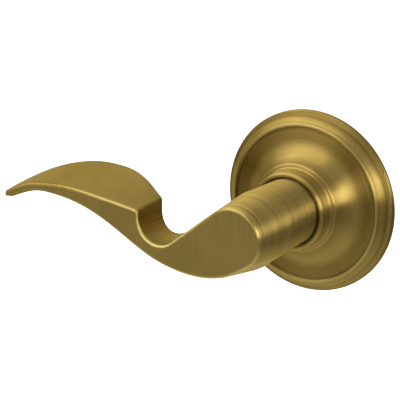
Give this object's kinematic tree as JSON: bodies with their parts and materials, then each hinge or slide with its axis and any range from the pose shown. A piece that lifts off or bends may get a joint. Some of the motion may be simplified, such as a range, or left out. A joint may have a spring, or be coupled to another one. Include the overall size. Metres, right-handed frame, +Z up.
{
  "type": "lever handle lockset",
  "caption": "Outside half of a passage door lever set: wave-shaped lever on a round stepped rose, with spring cage, spindle and through-bolt posts.",
  "frame": {"origin": "on the spindle's axis, in the plane where the rose and mounting plate meet the door's face", "axes": "+Y into the door along the spindle's axis, +Z up, -X from the hub towards the lever's tip"},
  "size_m": [0.1344, 0.086, 0.0666],
  "materials": {
    "satin_brass": "antique satin brass, brushed round the axis",
    "satin_brass_cast": "antique satin brass, brushed upright on the face",
    "black_nylon": "moulded nylon",
    "zinc_plated_steel": "zinc plated sheet",
    "zinc_plated_screw": "zinc plated",
    "cast_zinc": "die cast, matt",
    "spring_steel": "oiled spring steel",
    "turned_steel": "turned, bright",
    "spindle_steel": "drawn bar, zinc plated",
    "yellow_brass": "stamped"
  },
  "bodies": {
    "trim": {"rose": "satin_brass", "neck_bushing": "black_nylon", "mounting_plate": "zinc_plated_steel", "spring_cage": "cast_zinc", "cage_cover": "zinc_plated_steel", "cover_screws": "zinc_plated_screw", "rose_clips": "spring_steel", "mounting_post_upper": "turned_steel", "mounting_post_lower": "turned_steel", "stop_pins": "turned_steel", "spring_anchor": "turned_steel", "return_spring": "spring_steel", "thrust_washer": "yellow_brass"},
    "handle": {"lever": "satin_brass_cast", "lever_insert": "turned_steel", "drive_sleeve": "turned_steel", "spindle": "spindle_steel", "spindle_pin": "turned_steel", "cam": "turned_steel", "bow_washer": "spring_steel", "retaining_ring": "spring_steel"},
    "catch": {"lever_catch": "turned_steel", "catch_spring": "spring_steel"}
  },
  "joints": [
    {"name": "lever_turn", "type": "hinge", "parent": "trim", "child": "handle", "pos_m": [0, 0, 0], "axis": [0, 1, 0], "range_deg": [-50, 50], "stiffness_Nm_per_rad": 5, "deforming": ["return_spring"]},
    {"name": "catch_press", "type": "slide", "parent": "handle", "child": "catch", "axis": [0, 0, 1], "range_m": [0, 0.002], "stiffness_N_per_m": 600, "springref_m": -0.002, "deforming": ["catch_spring"]}
  ]
}
